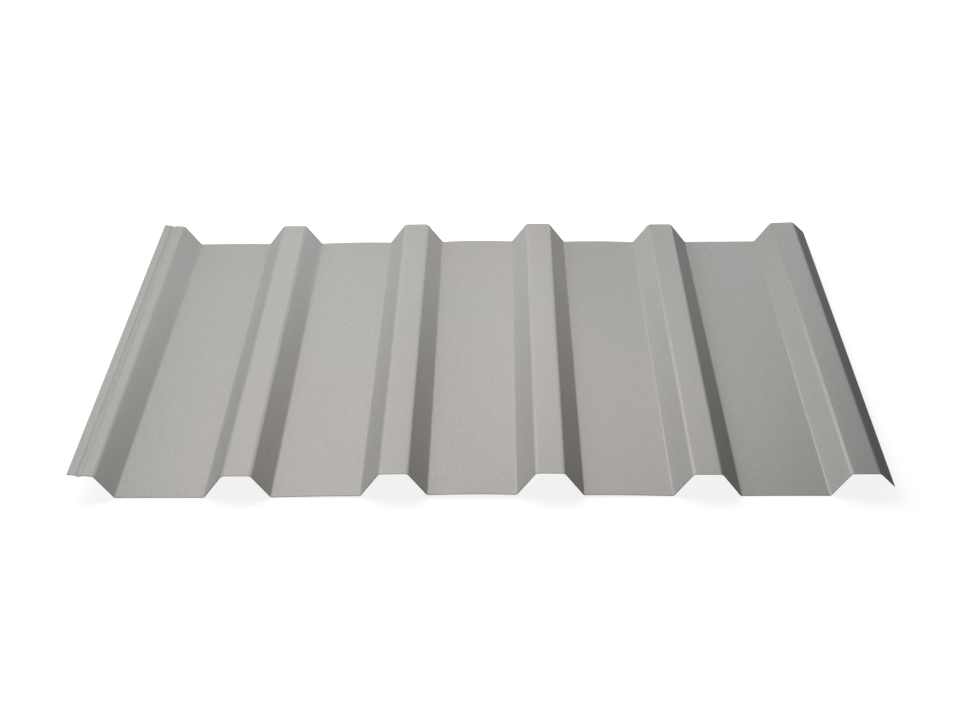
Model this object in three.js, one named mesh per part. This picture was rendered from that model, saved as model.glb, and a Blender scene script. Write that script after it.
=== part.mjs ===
/**
 * Trapezoidal corrugated metal sheet: one roll-formed strip of coated steel, lying flat.
 *
 * Millimetres. +X runs across the ribs, +Y along them and +Z up. The origin is the middle of
 * the sheet's bounding box at floor level, and the undersides of the pans rest on Z = 0.
 *
 * From left to right the section is an underlap crown with a capillary groove, then as many
 * repeats of pan and full crown as the sheet has ribs. The last crown ends in a short overlap
 * leg, which drops over the underlap crown of the next sheet.
 */
import * as THREE from 'three';

// Sheet
const sheetLength = 800;
const sheetThickness = 0.75;

// Section, measured between the sharp corners that the flats of the upper face would meet in
const profileHeight = 34;
const ribPitch = 207;
const ribCount = 5;
const crownWidth = 38;
const webRun = 25.5;

// Underlap crown on the left: its flat ends in a free edge, sprung up a little
const underlapWidth = 34.5;
const underlapLift = 5; // degrees
const grooveInset = 17.25; // free edge to the middle of the groove
const grooveWidth = 8;
const grooveDepth = 1.8;

// Overlap leg on the right, splayed wider than the webs
const legRun = 19.5;
const legDrop = 19.5;

// Bends, inside radius
const crownBendRadius = 4.5;
const panBendRadius = 2.5;
const grooveBendRadius = 2;
const curveSegments = 3; // two facets to each on a bend

/** A corner of the upper face, with the inside radius of the bend that rounds it. */
function corner(x, z, radius = 0) {
  return { point: new THREE.Vector2(x, z), radius };
}

/** Corners of the underlap crown, from its free edge to the start of its web at (x, z). */
function underlapCorners(x, z) {
  const edge = x - underlapWidth;
  const groove = edge + grooveInset;
  const flat = [
    corner(edge, z),
    corner(groove - grooveWidth / 2, z, grooveBendRadius),
    corner(groove, z - grooveDepth, grooveBendRadius),
    corner(groove + grooveWidth / 2, z, grooveBendRadius),
  ];
  const hinge = new THREE.Vector2(x, z);
  flat.forEach(({ point }) => point.rotateAround(hinge, -THREE.MathUtils.degToRad(underlapLift)));
  return [...flat, corner(x, z, crownBendRadius)];
}

/** Corners of one pan and the crown after it; x is where the crown before it ends. */
function ribCorners(x, crownLevel, panLevel) {
  const next = x + ribPitch;
  return [
    corner(x + webRun, panLevel, panBendRadius),
    corner(next - crownWidth - webRun, panLevel, panBendRadius),
    corner(next - crownWidth, crownLevel, crownBendRadius),
    corner(next, crownLevel, crownBendRadius),
  ];
}

/** Every corner of the upper face, from the underlap's free edge to the tip of the overlap leg. */
function sectionCorners() {
  const panLevel = sheetThickness;
  const crownLevel = profileHeight;
  const corners = underlapCorners(0, crownLevel);
  for (let rib = 0; rib < ribCount; rib += 1) {
    corners.push(...ribCorners(rib * ribPitch, crownLevel, panLevel));
  }
  corners.push(corner(ribCount * ribPitch + legRun, crownLevel - legDrop));
  return corners;
}

/** The bend at corner i: its centre, the arc it sweeps and its radius on either face. */
function bendAt(corners, i) {
  const { point, radius } = corners[i];
  const before = point.clone().sub(corners[i - 1].point);
  const after = corners[i + 1].point.clone().sub(point);
  const turn = after.angle() - before.angle();
  const sweep = THREE.MathUtils.euclideanModulo(turn + Math.PI, 2 * Math.PI) - Math.PI;
  const rises = sweep > 0;

  // The bend takes at most half of the shorter flat beside it
  const reach = Math.tan(Math.abs(sweep) / 2);
  const limit = Math.min(before.length(), after.length()) / 2 / reach;
  const upper = Math.min(rises ? radius : radius + sheetThickness, limit);
  const lower = rises ? upper + sheetThickness : upper - sheetThickness;

  // The normal points from the bend's centre to the sheet at the start of the arc
  const heading = before.angle();
  const start = rises ? heading - Math.PI / 2 : heading + Math.PI / 2;
  const normal = new THREE.Vector2(Math.cos(start), Math.sin(start));
  const tangent = point.clone().addScaledVector(before.normalize(), -upper * reach);
  const centre = tangent.addScaledVector(normal, -upper);
  return { centre, start, end: start + sweep, rises, upper, lower };
}

/** The point of the underside that lies square below a point of the upper face. */
function below(point, from, to) {
  const along = to.clone().sub(from).normalize();
  return new THREE.Vector2(point.x + along.y * sheetThickness, point.y - along.x * sheetThickness);
}

/** The closed outline of the section: out along the upper face and back along the underside. */
function sectionShape() {
  const corners = sectionCorners();
  const points = corners.map(({ point }) => point);
  const bends = corners.slice(1, -1).map((_, i) => bendAt(corners, i + 1));
  const [freeEdge, second] = points;
  const [beforeLast, legTip] = points.slice(-2);

  const edgeUnderside = below(freeEdge, freeEdge, second);
  const legUnderside = below(legTip, beforeLast, legTip);
  const shape = new THREE.Shape();
  shape.moveTo(edgeUnderside.x, edgeUnderside.y);
  shape.lineTo(freeEdge.x, freeEdge.y);
  for (const { centre, start, end, rises, upper } of bends) {
    shape.absarc(centre.x, centre.y, upper, start, end, !rises);
  }
  shape.lineTo(legTip.x, legTip.y);
  shape.lineTo(legUnderside.x, legUnderside.y);
  for (const { centre, start, end, rises, lower } of bends.reverse()) {
    shape.absarc(centre.x, centre.y, lower, end, start, rises);
  }
  shape.closePath();
  return shape;
}

/** The section swept along the ribs, turned to lie flat and centred on the origin. */
function profiledSheet() {
  const geometry = new THREE.ExtrudeGeometry(sectionShape(), {
    depth: sheetLength,
    steps: 1,
    curveSegments,
    bevelEnabled: false,
  });
  geometry.rotateX(Math.PI / 2);
  geometry.computeBoundingBox();
  const middle = geometry.boundingBox.getCenter(new THREE.Vector3());
  geometry.translate(-middle.x, -middle.y, 0);

  const coating = new THREE.MeshStandardMaterial({ color: 0xb5b3af, roughness: 0.45, metalness: 0.3 });
  const sheet = new THREE.Mesh(geometry, coating);
  sheet.name = 'profiled_sheet';
  return sheet;
}

const part = new THREE.Group();
part.add(profiledSheet());

export default part;
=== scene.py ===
"""Trapezoidal corrugated metal sheet, dressed as roll-formed, coil-coated steel.

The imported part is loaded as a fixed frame. Geometry Nodes then roll a finer sheet in its place,
of the same section but with rounder bends and a softer groove. It has the silver coating above, a
backing coat below and bare metal on its sheared edges. A pale floor, soft lamps and the camera
complete the view.
"""

import logging
import math
from dataclasses import dataclass, field
from enum import Enum
from typing import Any

import bpy
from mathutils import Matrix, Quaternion, Vector


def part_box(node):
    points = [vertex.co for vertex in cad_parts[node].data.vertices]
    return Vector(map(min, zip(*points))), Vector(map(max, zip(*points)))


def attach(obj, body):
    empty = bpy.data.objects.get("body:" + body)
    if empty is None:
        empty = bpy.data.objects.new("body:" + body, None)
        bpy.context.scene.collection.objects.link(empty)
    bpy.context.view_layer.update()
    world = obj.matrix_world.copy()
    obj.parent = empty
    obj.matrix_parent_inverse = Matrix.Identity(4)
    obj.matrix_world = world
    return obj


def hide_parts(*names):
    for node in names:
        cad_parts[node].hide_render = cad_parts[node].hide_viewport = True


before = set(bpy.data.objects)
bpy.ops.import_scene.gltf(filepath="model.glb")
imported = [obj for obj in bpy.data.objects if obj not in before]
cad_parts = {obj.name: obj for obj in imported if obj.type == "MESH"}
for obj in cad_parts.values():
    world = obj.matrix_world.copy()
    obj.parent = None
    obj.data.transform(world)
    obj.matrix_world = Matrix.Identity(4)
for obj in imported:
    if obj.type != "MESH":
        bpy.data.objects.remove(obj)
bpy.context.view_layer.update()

MM = 0.001
WHITE = "#ffffff"

# Sockets of a Mix node that mixes colours, whose names it shares with its other kinds
MIX_SHARE, MIX_FIRST, MIX_SECOND, MIX_RESULT = 0, 6, 7, 2

log = logging.getLogger("corrugated_sheet")


def linear(hex_colour: str) -> tuple[float, float, float, float]:
    """Turn an sRGB hex colour into the linear one that shaders use.

    Args:
        hex_colour: Six hex digits after a hash.

    Returns:
        Linear red, green and blue, and an alpha of 1.
    """
    toe, slope, offset, gamma = 0.04045, 12.92, 0.055, 2.4
    coded = [int(hex_colour[i:i + 2], 16) / 255 for i in (1, 3, 5)]
    light = [c / slope if c <= toe else ((c + offset) / (1 + offset)) ** gamma for c in coded]
    return (light[0], light[1], light[2], 1.0)


def add_node(
    tree: bpy.types.NodeTree,
    kind: str,
    settings: dict[str, Any] | None = None,
    inputs: dict[str | int, Any] | None = None,
) -> bpy.types.Node:
    """Add a node to a tree, with its settings and its inputs.

    Args:
        tree: The shader or geometry tree.
        kind: The node's type name.
        settings: Properties of the node by name.
        inputs: Values or output sockets by the input's name or place; a list joins several.

    Returns:
        The new node.
    """
    node = tree.nodes.new(kind)
    for name, value in (settings or {}).items():
        setattr(node, name, value)
    for key, value in (inputs or {}).items():
        if isinstance(value, bpy.types.NodeSocket):
            tree.links.new(value, node.inputs[key])
        elif isinstance(value, list):
            for source in value:
                tree.links.new(source, node.inputs[key])
        else:
            node.inputs[key].default_value = value
    return node


def start_finish(name: str) -> tuple[bpy.types.Material, bpy.types.Node]:
    """Start a finish from a plain material.

    Args:
        name: The material's name.

    Returns:
        The material and its surface shader.
    """
    mat = bpy.data.materials.new(name)
    mat.use_nodes = True
    return mat, mat.node_tree.nodes["Principled BSDF"]


class SheetFace(Enum):
    """The faces of the strip, each with a finish of its own."""

    TOP = "Top coat"
    BACK = "Backing coat"
    SHEARED = "Sheared edge"


@dataclass(frozen=True)
class CoilCoating:
    """Silver polyester coil coating: fine aluminium flakes baked in a satin binder.

    The flakes give a wide, soft sheen that fades as a face turns away from the light, and a
    fine speckle, drawn a little coarser than the real one and stretched the way the strip was
    rolled. The grey drifts between a warmer and a cooler cast over most of a metre.
    """

    name: str = "coil_coating_silver_grey"
    warm_colour: str = "#b6b3af"
    cool_colour: str = "#b4b3b0"
    metallic: float = 0.35
    roughness: float = 0.45
    noise_detail: float = 1.0
    cast_size: float = 850 * MM
    cast_seed: float = 946.1
    cast_range: tuple[float, float] = (0.38, 0.6)
    speckle_size: float = 2.8 * MM
    speckle_stretch: float = 2.0
    speckle_range: tuple[float, float] = (0.3, 0.7)
    speckle_contrast: float = 0.055

    def material(self) -> bpy.types.Material:
        """Build the material.

        Returns:
            The material.
        """
        mat, shader = start_finish(self.name)
        tree = mat.node_tree
        shader.inputs["Metallic"].default_value = self.metallic
        shader.inputs["Roughness"].default_value = self.roughness
        place = add_node(tree, "ShaderNodeTexCoord").outputs["Object"]

        # The slow drift from the cooler grey to the warmer one
        broad = {
            "Vector": place, "W": self.cast_seed,
            "Scale": 1 / self.cast_size, "Detail": self.noise_detail,
        }
        drift = add_node(tree, "ShaderNodeTexNoise", {"noise_dimensions": "4D"}, broad).outputs[0]
        low, high = self.cast_range
        stretch = {"Value": drift, "From Min": low, "From Max": high}
        warmth = add_node(tree, "ShaderNodeMapRange", inputs=stretch).outputs[0]
        mix = {
            MIX_SHARE: warmth,
            MIX_FIRST: linear(self.cool_colour),
            MIX_SECOND: linear(self.warm_colour),
        }
        grey = add_node(tree, "ShaderNodeMix", {"data_type": "RGBA"}, mix).outputs[MIX_RESULT]

        # The speckle of the flakes, as a little more or less light
        along = {0: place, 1: (1.0, 1 / self.speckle_stretch, 1.0)}
        drawn = add_node(tree, "ShaderNodeVectorMath", {"operation": "MULTIPLY"}, along).outputs[0]
        fine = {"Vector": drawn, "Scale": 1 / self.speckle_size, "Detail": self.noise_detail}
        flakes = add_node(tree, "ShaderNodeTexNoise", inputs=fine).outputs[0]
        low, high = self.speckle_range
        span = {
            "Value": flakes, "From Min": low, "From Max": high,
            "To Min": 1 - self.speckle_contrast, "To Max": 1 + self.speckle_contrast,
        }
        light = add_node(tree, "ShaderNodeMapRange", inputs=span).outputs[0]
        speckled = {"Color": grey, "Value": light}
        colour = add_node(tree, "ShaderNodeHueSaturation", inputs=speckled)
        tree.links.new(colour.outputs[0], shader.inputs["Base Color"])
        return mat


@dataclass(frozen=True)
class MottledFinish:
    """A finish with no flakes in it, mottled between two near shades of one grey."""

    name: str
    colour: str
    mottle_colour: str
    metallic: float
    roughness: float
    mottle_size: float
    mottle_detail: float

    def material(self) -> bpy.types.Material:
        """Build the material.

        Returns:
            The material.
        """
        mat, shader = start_finish(self.name)
        tree = mat.node_tree
        shader.inputs["Metallic"].default_value = self.metallic
        shader.inputs["Roughness"].default_value = self.roughness
        place = add_node(tree, "ShaderNodeTexCoord").outputs["Object"]
        noise = {"Vector": place, "Scale": 1 / self.mottle_size, "Detail": self.mottle_detail}
        mottle = add_node(tree, "ShaderNodeTexNoise", inputs=noise).outputs[0]
        mix = {
            MIX_SHARE: mottle,
            MIX_FIRST: linear(self.colour),
            MIX_SECOND: linear(self.mottle_colour),
        }
        colour = add_node(tree, "ShaderNodeMix", {"data_type": "RGBA"}, mix)
        tree.links.new(colour.outputs[MIX_RESULT], shader.inputs["Base Color"])
        return mat


@dataclass(frozen=True)
class BackingCoat(MottledFinish):
    """Thin epoxy backing coat on the underside: a flat, matt grey, faintly stained all over."""

    name: str = "epoxy_backing_coat_grey"
    colour: str = "#a9aaa8"
    mottle_colour: str = "#9fa09d"
    metallic: float = 0.0
    roughness: float = 0.62
    mottle_size: float = 45 * MM
    mottle_detail: float = 4.0


@dataclass(frozen=True)
class ShearedEdge(MottledFinish):
    """Bare galvanised steel where the strip was sheared: a thin, dull, darker, grainy line."""

    name: str = "sheared_galvanised_edge"
    colour: str = "#7c7b78"
    mottle_colour: str = "#62615e"
    metallic: float = 0.8
    roughness: float = 0.55
    mottle_size: float = 0.9 * MM
    mottle_detail: float = 3.0


@dataclass(frozen=True)
class SheetSection:
    """Sizes of the rolled section, between the sharp corners of its upper face."""

    thickness: float = 0.75 * MM
    depth: float = 34 * MM
    pitch: float = 207 * MM
    rib_count: int = 5
    crown_width: float = 38 * MM
    web_run: float = 25.5 * MM
    underlap_width: float = 34.5 * MM
    underlap_lift: float = math.radians(5)
    groove_inset: float = 15.4 * MM
    groove_width: float = 10 * MM
    groove_depth: float = 1.85 * MM
    leg_run: float = 19.5 * MM
    leg_drop: float = 19.5 * MM
    crown_bend: float = 7 * MM
    pan_bend: float = 4 * MM
    groove_bend: float = 5 * MM

    def left_reach(self) -> float:
        """How far the free edge lies to the left of the first web's upper corner."""
        lift = self.underlap_lift
        return self.underlap_width * math.cos(lift) + self.thickness * math.sin(lift)


@dataclass
class RolledSheet:
    """The whole sheet: its section rolled by Geometry Nodes, and the finish of its faces.

    The sheet lies a little sprung, as one does when it isn't screwed down: its middle crests
    off the floor, its far right corner twists up, and the pans flare up at their sheared ends.
    A hair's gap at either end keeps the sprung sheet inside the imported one's length.
    """

    node: str = "profiled_sheet"
    name: str = "rolled_sheet"
    slot: str = "coil_coated_steel"
    section: SheetSection = field(default_factory=SheetSection)
    coating: CoilCoating = field(default_factory=CoilCoating)
    backing: BackingCoat = field(default_factory=BackingCoat)
    edge: ShearedEdge = field(default_factory=ShearedEdge)
    bend_facets: int = 8
    flat_step: float = 8 * MM
    row_step: float = 10 * MM
    near_crest: float = 3.3 * MM
    far_crest: float = 2.8 * MM
    crest_reach: float = 336 * MM
    twist: float = 3.6 * MM
    twist_reach: float = 156 * MM
    near_flare: float = 0.8 * MM
    far_flare: float = 1.4 * MM
    flare_reach: float = 90 * MM
    end_gap: float = 0.02 * MM
    weld_distance: float = 0.01 * MM
    sharp_angle: float = math.radians(40)

    def sizes(self) -> dict[str, tuple[str, Any]]:
        """List the tree's named inputs.

        Returns:
            Socket type and value for each name.
        """
        low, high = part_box(self.node)
        length = high.y - low.y - 2 * self.end_gap
        cut = self.section
        first_corner = low.x + cut.left_reach()
        number, count, finish = "NodeSocketFloat", "NodeSocketInt", "NodeSocketMaterial"
        return {
            "Length": (number, length),
            "Rows": (count, round(length / self.row_step) + 1),
            "First corner": (number, first_corner),
            "Thickness": (number, cut.thickness),
            "Depth": (number, cut.depth),
            "Pitch": (number, cut.pitch),
            "Rib count": (count, cut.rib_count),
            "Crown width": (number, cut.crown_width),
            "Web run": (number, cut.web_run),
            "Underlap width": (number, cut.underlap_width),
            "Underlap lift": (number, cut.underlap_lift),
            "Groove inset": (number, cut.groove_inset),
            "Groove width": (number, cut.groove_width),
            "Groove depth": (number, cut.groove_depth),
            "Leg run": (number, cut.leg_run),
            "Leg drop": (number, cut.leg_drop),
            "Crown bend": (number, cut.crown_bend),
            "Pan bend": (number, cut.pan_bend),
            "Groove bend": (number, cut.groove_bend),
            "Bend facets": (count, self.bend_facets),
            "Flat step": (number, self.flat_step),
            "Near crest": (number, self.near_crest),
            "Far crest": (number, self.far_crest),
            "Crest reach": (number, self.crest_reach),
            "Twist": (number, self.twist),
            "Twist reach": (number, self.twist_reach),
            "Near flare": (number, self.near_flare),
            "Far flare": (number, self.far_flare),
            "Flare reach": (number, self.flare_reach),
            "Sharp angle": (number, self.sharp_angle),
            SheetFace.TOP.value: (finish, self.coating.material()),
            SheetFace.BACK.value: (finish, self.backing.material()),
            SheetFace.SHEARED.value: (finish, self.edge.material()),
        }

    def work_out(
        self, tree: bpy.types.NodeTree, size: dict[str, Any], steps: tuple[tuple[Any, ...], ...]
    ) -> None:
        """Add a chain of sums, each under a name that later steps may use.

        Args:
            tree: The geometry tree.
            size: Sockets by name; each result joins them.
            steps: Result name, operation, then its operands, each a name or a number.
        """
        for result, operation, *operands in steps:
            inputs = {i: size.get(operand, operand) for i, operand in enumerate(operands)}
            settings = {"operation": operation, "label": result}
            size[result] = add_node(tree, "ShaderNodeMath", settings, inputs).outputs[0]

    def corner(
        self,
        tree: bpy.types.NodeTree,
        size: dict[str, Any],
        across: str | float,
        up: str | float,
        bend: str | float,
    ) -> bpy.types.NodeSocket:
        """Add a corner of the section: a point that carries the radius of its bend.

        Args:
            tree: The geometry tree.
            size: Sockets by name.
            across: Name or value of its X.
            up: Name or value of its Z.
            bend: Name or value of the radius on the upper face.

        Returns:
            The point.
        """
        place = {"X": size.get(across, across), "Z": size.get(up, up)}
        position = add_node(tree, "ShaderNodeCombineXYZ", inputs=place).outputs[0]
        point = {"Position": position, "Radius": size.get(bend, bend)}
        return add_node(tree, "GeometryNodePoints", inputs=point).outputs[0]

    def underlap(self, tree: bpy.types.NodeTree, size: dict[str, Any]) -> bpy.types.NodeSocket:
        """Lay out the underlap crown about its first bend, then spring its free edge up.

        Args:
            tree: The geometry tree.
            size: Sockets by name.

        Returns:
            The corners from the free edge to the groove.
        """
        self.work_out(tree, size, (
            ("Free edge", "MULTIPLY", "Underlap width", -1.0),
            ("Groove middle", "ADD", "Free edge", "Groove inset"),
            ("Groove half", "MULTIPLY", "Groove width", 0.5),
            ("Left rim", "SUBTRACT", "Groove middle", "Groove half"),
            ("Right rim", "ADD", "Groove middle", "Groove half"),
            ("Groove floor", "MULTIPLY", "Groove depth", -1.0),
            ("Rim bend", "ADD", "Groove bend", "Thickness"),
        ))
        corners = [
            self.corner(tree, size, "Free edge", 0.0, 0.0),
            self.corner(tree, size, "Left rim", 0.0, "Rim bend"),
            self.corner(tree, size, "Groove middle", "Groove floor", "Groove bend"),
            self.corner(tree, size, "Right rim", 0.0, "Rim bend"),
        ]
        flat = add_node(tree, "GeometryNodeJoinGeometry", inputs={0: corners}).outputs[0]
        turn = add_node(tree, "ShaderNodeCombineXYZ", inputs={"Y": size["Underlap lift"]})
        lift = add_node(tree, "ShaderNodeCombineXYZ", inputs={"Z": size["Depth"]})
        pose = {"Geometry": flat, "Rotation": turn.outputs[0], "Translation": lift.outputs[0]}
        return add_node(tree, "GeometryNodeTransform", inputs=pose).outputs[0]

    def ribs(self, tree: bpy.types.NodeTree, size: dict[str, Any]) -> bpy.types.NodeSocket:
        """Lay out one pan and the crown after it, and repeat them at the pitch.

        Args:
            tree: The geometry tree.
            size: Sockets by name.

        Returns:
            The corners of every pan and full crown.
        """
        self.work_out(tree, size, (
            ("Crown start", "SUBTRACT", "Pitch", "Crown width"),
            ("Pan end", "SUBTRACT", "Crown start", "Web run"),
            ("Crown outside", "ADD", "Crown bend", "Thickness"),
        ))
        corners = [
            self.corner(tree, size, "Web run", "Thickness", "Pan bend"),
            self.corner(tree, size, "Pan end", "Thickness", "Pan bend"),
            self.corner(tree, size, "Crown start", "Depth", "Crown outside"),
            self.corner(tree, size, "Pitch", "Depth", "Crown outside"),
        ]
        rib = add_node(tree, "GeometryNodeJoinGeometry", inputs={0: corners}).outputs[0]
        step = add_node(tree, "ShaderNodeCombineXYZ", inputs={"X": size["Pitch"]}).outputs[0]
        spots = {"Count": size["Rib count"], "Offset": step}
        line = add_node(tree, "GeometryNodeMeshLine", {"mode": "OFFSET"}, spots).outputs[0]
        repeat = {"Points": line, "Instance": rib}
        ribs = add_node(tree, "GeometryNodeInstanceOnPoints", inputs=repeat).outputs[0]
        return add_node(tree, "GeometryNodeRealizeInstances", inputs={0: ribs}).outputs[0]

    def section_curve(self, tree: bpy.types.NodeTree, size: dict[str, Any]) -> bpy.types.NodeSocket:
        """Join the corners from left to right, round the bends and divide the flats.

        Args:
            tree: The geometry tree.
            size: Sockets by name.

        Returns:
            The upper face's section as an open curve in the plane Y = 0.
        """
        underlap = self.underlap(tree, size)
        ribs = self.ribs(tree, size)
        self.work_out(tree, size, (
            ("Leg tip", "MULTIPLY_ADD", "Rib count", "Pitch", "Leg run"),
            ("Leg level", "SUBTRACT", "Depth", "Leg drop"),
        ))
        first = self.corner(tree, size, 0.0, "Depth", "Crown outside")
        leg = self.corner(tree, size, "Leg tip", "Leg level", 0.0)
        parts = {0: [underlap, first, ribs, leg]}
        corners = add_node(tree, "GeometryNodeJoinGeometry", inputs=parts).outputs[0]

        place = add_node(tree, "GeometryNodeInputPosition").outputs[0]
        across = add_node(tree, "ShaderNodeSeparateXYZ", inputs={0: place}).outputs["X"]
        order = {"Points": corners, "Weight": across}
        line = add_node(tree, "GeometryNodePointsToCurves", inputs=order).outputs[0]
        radius = add_node(tree, "GeometryNodeInputRadius").outputs[0]
        facets = size["Bend facets"]
        bends = {"Curve": line, "Count": facets, "Radius": radius, "Limit Radius": True}
        bent = add_node(tree, "GeometryNodeFilletCurve", {"mode": "POLY"}, bends).outputs[0]

        index = add_node(tree, "GeometryNodeInputIndex").outputs[0]
        after = add_node(tree, "ShaderNodeMath", {"operation": "ADD"}, {0: index, 1: 1.0})
        there = {"Value": place, "Index": after.outputs[0]}
        next_place = add_node(
            tree, "GeometryNodeFieldAtIndex", {"data_type": "FLOAT_VECTOR"}, there
        ).outputs[0]
        span = {0: place, 1: next_place}
        flat = add_node(tree, "ShaderNodeVectorMath", {"operation": "DISTANCE"}, span)
        size["Flat"] = flat.outputs["Value"]
        self.work_out(tree, size, (
            ("Steps", "DIVIDE", "Flat", "Flat step"),
            ("Cuts", "FLOOR", "Steps"),
        ))
        cuts = {"Curve": bent, "Cuts": size["Cuts"]}
        return add_node(tree, "GeometryNodeSubdivideCurve", inputs=cuts).outputs[0]

    def upper_face(self, tree: bpy.types.NodeTree, size: dict[str, Any]) -> bpy.types.NodeSocket:
        """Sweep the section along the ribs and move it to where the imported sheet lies.

        Args:
            tree: The geometry tree.
            size: Sockets by name.

        Returns:
            The upper face as an open mesh.
        """
        section = self.section_curve(tree, size)
        level = {"mode": "Z_UP"}
        upright = add_node(tree, "GeometryNodeSetCurveNormal", level, {"Curve": section}).outputs[0]
        self.work_out(tree, size, (
            ("Far end", "MULTIPLY", "Length", 0.5),
            ("Near end", "MULTIPLY", "Length", -0.5),
        ))
        start = add_node(tree, "ShaderNodeCombineXYZ", inputs={"X": size["Near end"]}).outputs[0]
        end = add_node(tree, "ShaderNodeCombineXYZ", inputs={"X": size["Far end"]}).outputs[0]
        ends = {0: start, 1: end}
        line = add_node(tree, "GeometryNodeCurvePrimitiveLine", inputs=ends).outputs[0]
        rows = {"Curve": line, "Count": size["Rows"]}
        profile = add_node(tree, "GeometryNodeResampleCurve", inputs=rows).outputs[0]
        sweep = {"Curve": upright, "Profile Curve": profile}
        strip = add_node(tree, "GeometryNodeCurveToMesh", inputs=sweep).outputs[0]
        home = add_node(tree, "ShaderNodeCombineXYZ", inputs={"X": size["First corner"]}).outputs[0]
        move = {"Geometry": strip, "Translation": home}
        return add_node(tree, "GeometryNodeTransform", inputs=move).outputs[0]

    def spring(
        self, tree: bpy.types.NodeTree, size: dict[str, Any], face: bpy.types.NodeSocket
    ) -> bpy.types.NodeSocket:
        """Lift the middle of the sheet, twist its far right corner and flare its pans' ends.

        Args:
            tree: The geometry tree.
            size: Sockets by name.
            face: The upper face.

        Returns:
            The upper face as it lies.
        """
        place = add_node(tree, "GeometryNodeInputPosition").outputs[0]
        axes = add_node(tree, "ShaderNodeSeparateXYZ", inputs={0: place})
        size["Across"] = axes.outputs["X"]
        size["Along"] = axes.outputs["Y"]
        self.work_out(tree, size, (
            ("Way", "DIVIDE", "Along", "Length"),
            ("Farness", "ADD", "Way", 0.5),
            ("Reach across", "ABSOLUTE", "Across"),
            ("Crest way", "DIVIDE", "Reach across", "Crest reach"),
            ("Crest end", "MINIMUM", "Crest way", 1.0),
            ("Crest turn", "MULTIPLY", "Crest end", math.pi),
            ("Crest wave", "COSINE", "Crest turn"),
            ("Crest share", "MULTIPLY_ADD", "Crest wave", 0.5, 0.5),
            ("Crest gain", "SUBTRACT", "Far crest", "Near crest"),
            ("Crest", "MULTIPLY_ADD", "Farness", "Crest gain", "Near crest"),
            ("Crest lift", "MULTIPLY", "Crest", "Crest share"),
        ))
        self.work_out(tree, size, (
            ("Right edge", "ADD", "First corner", "Leg tip"),
            ("From edge", "SUBTRACT", "Right edge", "Across"),
            ("Twist way", "DIVIDE", "From edge", "Twist reach"),
            ("Twist end", "MINIMUM", "Twist way", 1.0),
            ("Twist share", "SUBTRACT", 1.0, "Twist end"),
            ("Twist squared", "MULTIPLY", "Twist share", "Twist share"),
            ("Twist here", "MULTIPLY", "Twist", "Farness"),
            ("Crest and twist", "MULTIPLY_ADD", "Twist here", "Twist squared", "Crest lift"),
        ))
        self.work_out(tree, size, (
            ("Outer pan", "ADD", "First corner", "Web run"),
            ("Pan width", "SUBTRACT", "Pan end", "Web run"),
            ("Pan half", "MULTIPLY", "Pan width", 0.5),
            ("Pan middle", "ADD", "Outer pan", "Pan half"),
            ("Pitch half", "MULTIPLY", "Pitch", 0.5),
            ("Pitch half back", "MULTIPLY", "Pitch", -0.5),
            ("From middle", "SUBTRACT", "Across", "Pan middle"),
            ("In pan", "WRAP", "From middle", "Pitch half", "Pitch half back"),
            ("Pan share", "DIVIDE", "In pan", "Pan half"),
            ("Pan squared", "MULTIPLY", "Pan share", "Pan share"),
            ("Pan arch", "SUBTRACT", 1.0, "Pan squared"),
            ("Pan rise", "MAXIMUM", "Pan arch", 0.0),
            ("Reach", "ABSOLUTE", "Along"),
            ("To end", "SUBTRACT", "Far end", "Reach"),
            ("Fade way", "DIVIDE", "To end", "Flare reach"),
            ("Fade", "MULTIPLY", "Fade way", -1.0),
            ("Flare share", "EXPONENT", "Fade"),
            ("Flare gain", "SUBTRACT", "Far flare", "Near flare"),
            ("Flare", "MULTIPLY_ADD", "Farness", "Flare gain", "Near flare"),
            ("Flare here", "MULTIPLY", "Flare", "Flare share"),
            ("Spread", "DIVIDE", "Across", "Outer pan"),
            ("Spread squared", "MULTIPLY", "Spread", "Spread"),
            ("Arch", "SUBTRACT", 1.0, "Spread squared"),
            ("Inner arch", "MAXIMUM", "Arch", 0.0),
            ("Pan flare", "MULTIPLY", "Flare here", "Pan rise"),
            ("Lift", "MULTIPLY_ADD", "Pan flare", "Inner arch", "Crest and twist"),
        ))
        lift = add_node(tree, "ShaderNodeCombineXYZ", inputs={"Z": size["Lift"]}).outputs[0]
        move = {"Geometry": face, "Offset": lift}
        return add_node(tree, "GeometryNodeSetPosition", inputs=move).outputs[0]

    def tree(self, sizes: dict[str, tuple[str, Any]]) -> bpy.types.NodeTree:
        """Build the whole tree, from the named sizes to a closed sheet with its finishes.

        Args:
            sizes: Socket type and value for each named input.

        Returns:
            The geometry tree.
        """
        tree = bpy.data.node_groups.new(self.name, "GeometryNodeTree")
        faces = tree.interface
        for name, (kind, _) in sizes.items():
            faces.new_socket(name, in_out="INPUT", socket_type=kind)
        faces.new_socket("Sheet", in_out="OUTPUT", socket_type="NodeSocketGeometry")
        entry = add_node(tree, "NodeGroupInput")
        size: dict[str, Any] = {name: entry.outputs[name] for name in sizes}

        top = self.spring(tree, size, self.upper_face(tree, size))
        size["Down"] = add_node(
            tree, "ShaderNodeMath", {"operation": "MULTIPLY"}, {0: size["Thickness"], 1: -1.0}
        ).outputs[0]
        drop = {"Mesh": top, "Offset Scale": size["Down"], "Individual": False}
        wall = add_node(tree, "GeometryNodeExtrudeMesh", inputs=drop)
        inward = {0: wall.outputs["Mesh"]}
        outward = add_node(tree, "GeometryNodeFlipFaces", inputs=inward).outputs[0]
        shell = add_node(tree, "GeometryNodeJoinGeometry", inputs={0: [top, outward]}).outputs[0]
        weld = {"Geometry": shell, "Distance": self.weld_distance}
        closed = add_node(tree, "GeometryNodeMergeByDistance", inputs=weld).outputs[0]

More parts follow.
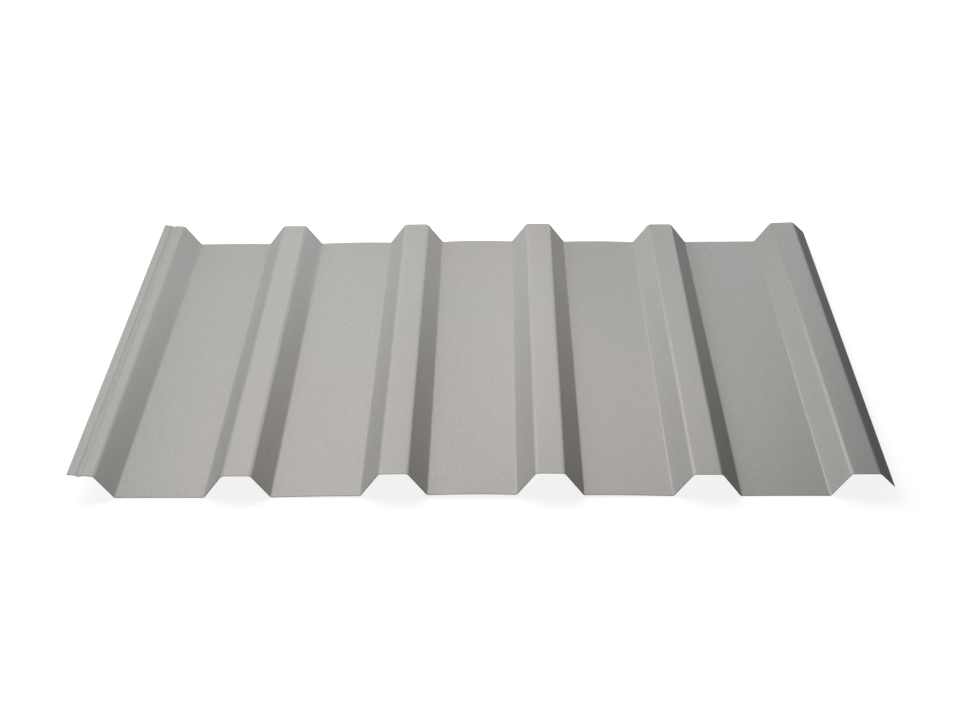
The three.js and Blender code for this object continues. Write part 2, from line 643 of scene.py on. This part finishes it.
        angle = add_node(tree, "GeometryNodeInputMeshEdgeAngle").outputs["Unsigned Angle"]
        blunt = add_node(
            tree, "ShaderNodeMath", {"operation": "LESS_THAN"}, {0: angle, 1: size["Sharp angle"]}
        ).outputs[0]
        shade = {"Geometry": closed, "Shade Smooth": blunt}
        smooth = add_node(
            tree, "GeometryNodeSetShadeSmooth", {"domain": "EDGE"}, shade
        ).outputs[0]
        sheet = add_node(tree, "GeometryNodeRealizeInstances", inputs={0: smooth}).outputs[0]
        finishes = (
            (SheetFace.TOP, True),
            (SheetFace.BACK, wall.outputs["Top"]),
            (SheetFace.SHEARED, wall.outputs["Side"]),
        )
        for face, where in finishes:
            coat = {"Geometry": sheet, "Selection": where, "Material": size[face.value]}
            sheet = add_node(tree, "GeometryNodeSetMaterial", inputs=coat).outputs[0]
        add_node(tree, "NodeGroupOutput", inputs={0: sheet})
        return tree

    def build(self) -> bpy.types.Object:
        """Roll the sheet and turn it into a plain mesh at the origin.

        Returns:
            The finished piece.
        """
        sizes = self.sizes()
        tree = self.tree(sizes)
        blank = bpy.data.objects.new(self.name + "_blank", bpy.data.meshes.new("blank"))
        bpy.context.scene.collection.objects.link(blank)
        roll = blank.modifiers.new("roll", "NODES")
        roll.node_group = tree
        for socket in tree.interface.items_tree:
            if socket.in_out == "INPUT":
                roll[socket.identifier] = sizes[socket.name][1]
        graph = bpy.context.evaluated_depsgraph_get()
        mesh = bpy.data.meshes.new_from_object(blank.evaluated_get(graph), depsgraph=graph)
        mesh.name = self.name
        mesh.materials.pop(index=0)  # the blank's own slot, which is empty
        bpy.data.objects.remove(blank)
        piece = bpy.data.objects.new(self.name, mesh)
        bpy.context.scene.collection.objects.link(piece)
        return piece

    def place(self) -> bpy.types.Object:
        """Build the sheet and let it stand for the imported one.

        Returns:
            The finished piece.
        """
        piece = self.build()
        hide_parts(self.node)
        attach(piece, "root")
        return piece


@dataclass(frozen=True)
class SoftLamp:
    """A square soft box, aimed at the floor under the middle of the sheet."""

    name: str
    place: tuple[float, float, float]
    side: float
    watts: float
    colour: str = WHITE

    def build(self) -> bpy.types.Object:
        """Hang the lamp and aim it.

        Returns:
            The lamp.
        """
        lamp = bpy.data.lights.new(self.name, "AREA")
        lamp.shape = "SQUARE"
        lamp.size = self.side
        lamp.energy = self.watts
        lamp.color = linear(self.colour)[:3]
        item = bpy.data.objects.new(self.name, lamp)
        item.location = self.place
        item.visible_camera = False
        item.rotation_euler = (-Vector(self.place)).to_track_quat("-Z", "Y").to_euler()
        bpy.context.scene.collection.objects.link(item)
        return item


@dataclass
class Studio:
    """The pale floor, the lamps, the room's light and the camera.

    The floor is white where the camera sees it lit, and keeps a light shadow around the sheet.
    Satin surfaces see the white surroundings at part strength.
    """

    floor_side: float = 60.0
    floor_drop: float = 0.3 * MM
    floor_colour: str = "#9a9a9a"
    floor_roughness: float = 1.0
    floor_specular: float = 0.0
    glow_near: float = 0.88  # beside the sheet, where the lamps make up the rest of its white
    glow_fade: float = 0.2  # metres from the sheet to where the floor glows at full strength
    sheet_half: tuple[float, float, float] = (0.5445, 0.4, 1.0)  # half its plan, at any height
    sheen_share: float = 0.1
    room_fill: float = 0.01
    aim: tuple[float, float, float] = (-0.0035, -0.0500, 0.0162)
    azimuth: float = math.radians(-0.71)
    elevation: float = math.radians(28.42)
    roll: float = math.radians(-0.57)
    distance: float = 2.6667
    focal_px: float = 1791.6
    frame_width_px: int = 960
    sensor_width: float = 36.0

    def seen(self, tree: bpy.types.NodeTree) -> bpy.types.NodeSocket:
        """Tell how strongly each ray sees the white surroundings.

        Args:
            tree: The shader tree.

        Returns:
            1 for camera and transmission rays, the sheen's share for glossy ones, 0 for others.
        """
        path = add_node(tree, "ShaderNodeLightPath").outputs
        dimmed = {0: path["Is Glossy Ray"], 1: self.sheen_share}
        seen = add_node(tree, "ShaderNodeMath", {"operation": "MULTIPLY"}, dimmed).outputs[0]
        for ray in ("Is Transmission Ray", "Is Camera Ray"):
            either = {0: seen, 1: path[ray]}
            seen = add_node(tree, "ShaderNodeMath", {"operation": "MAXIMUM"}, either).outputs[0]
        return seen

    def floor_finish(self) -> bpy.types.Material:
        """Make the matt floor, which glows white for the camera away from the sheet.

        Returns:
            The material.
        """
        mat, shader = start_finish("pale_matt_floor")
        tree = mat.node_tree
        shader.inputs["Base Color"].default_value = linear(self.floor_colour)
        shader.inputs["Roughness"].default_value = self.floor_roughness
        shader.inputs["Specular IOR Level"].default_value = self.floor_specular
        shader.inputs["Emission Color"].default_value = linear(WHITE)

        # How far each point of the floor lies from the sheet's outline
        place = add_node(tree, "ShaderNodeTexCoord").outputs["Object"]
        steps = (
            ("ABSOLUTE", None), ("SUBTRACT", self.sheet_half), ("MAXIMUM", (0.0, 0.0, 0.0)),
        )
        for operation, other in steps:
            sides = {0: place} if other is None else {0: place, 1: other}
            step = add_node(tree, "ShaderNodeVectorMath", {"operation": operation}, sides)
            place = step.outputs[0]
        length = add_node(tree, "ShaderNodeVectorMath", {"operation": "LENGTH"}, {0: place})
        away = length.outputs["Value"]

        fade = {"Value": away, "From Max": self.glow_fade, "To Min": self.glow_near}
        glow = add_node(tree, "ShaderNodeMapRange", {"interpolation_type": "SMOOTHSTEP"}, fade)
        shown = {0: self.seen(tree), 1: glow.outputs[0]}
        strength = add_node(tree, "ShaderNodeMath", {"operation": "MULTIPLY"}, shown)
        tree.links.new(strength.outputs[0], shader.inputs["Emission Strength"])
        return mat

    def floor(self) -> bpy.types.Object:
        """Lay the floor just under the sheet.

        Returns:
            The floor.
        """
        half = self.floor_side / 2
        corners = [(-half, -half), (half, -half), (half, half), (-half, half)]
        mesh = bpy.data.meshes.new("floor")
        mesh.from_pydata([(x, y, -self.floor_drop) for x, y in corners], [], [(0, 1, 2, 3)])
        mesh.materials.append(self.floor_finish())
        floor = bpy.data.objects.new("floor", mesh)
        bpy.context.scene.collection.objects.link(floor)
        return floor

    def room(self) -> None:
        """Surround the floor with white for what shows it, and with a little fill light."""
        world = bpy.data.worlds.new("room")
        world.use_nodes = True
        tree = world.node_tree
        shade = tree.nodes["Background"]
        shade.inputs["Color"].default_value = linear(WHITE)
        light = {0: self.seen(tree), 1: self.room_fill}
        strength = add_node(tree, "ShaderNodeMath", {"operation": "MAXIMUM"}, light)
        tree.links.new(strength.outputs[0], shade.inputs["Strength"])
        bpy.context.scene.world = world

    def lamps(self) -> list[bpy.types.Object]:
        """Hang the soft lamps.

        Returns:
            The lamps.
        """
        lamps = (
            SoftLamp("high_left_soft_box", (-1.5, 0.5, 1.8), 1.2, 17.56, "#fdffff"),
            SoftLamp("overhead_soft_box", (-0.6, 0.7, 1.1), 0.8, 2.89, "#fffdfb"),
            SoftLamp("middle_soft_box", (-0.3, 0.5, 1.0), 0.6, 2.33, "#fffbfa"),
            SoftLamp("inner_right_soft_box", (0.2, 0.4, 0.6), 0.6, 1.60, "#fffcfb"),
            SoftLamp("right_soft_box", (0.8, 0.7, 1.2), 0.8, 1.70),
            SoftLamp("low_middle_soft_box", (-0.1, 0.6, 0.4), 0.5, 0.36),
            SoftLamp("low_left_soft_box", (-0.5, 0.8, 0.5), 0.5, 0.44),
            SoftLamp("far_left_soft_box", (-3.0, 2.0, 1.5), 1.5, 24.23, "#f3fbff"),
            SoftLamp("back_right_soft_box", (0.9, 2.4, 0.5), 0.8, 3.43, "#f6faff"),
        )
        return [lamp.build() for lamp in lamps]

    def camera(self) -> bpy.types.Object:
        """Set up the camera that looks down on the sheet.

        Returns:
            The camera.
        """
        lens = bpy.data.cameras.new("camera")
        lens.sensor_width = self.sensor_width
        lens.lens = self.focal_px * self.sensor_width / self.frame_width_px
        level = math.cos(self.elevation)
        ahead = Vector((
            math.sin(self.azimuth) * level,
            math.cos(self.azimuth) * level,
            -math.sin(self.elevation),
        ))
        camera = bpy.data.objects.new("camera", lens)
        camera.location = Vector(self.aim) - ahead * self.distance
        turn = ahead.to_track_quat("-Z", "Y") @ Quaternion((0.0, 0.0, 1.0), self.roll)
        camera.rotation_euler = turn.to_euler()
        bpy.context.scene.collection.objects.link(camera)
        bpy.context.scene.camera = camera
        return camera


def main() -> None:
    """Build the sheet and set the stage."""
    logging.basicConfig(level=logging.INFO, format="%(message)s")
    studio = Studio()
    studio.camera()
    sheet = RolledSheet().place()
    mesh = sheet.data
    log.info("%s: %d vertices, %d faces", sheet.name, len(mesh.vertices), len(mesh.polygons))
    studio.floor()
    studio.room()
    for lamp in studio.lamps():
        log.info("%s hung", lamp.name)
    bpy.context.scene.view_settings.view_transform = "Standard"


if __name__ == "__main__":
    main()
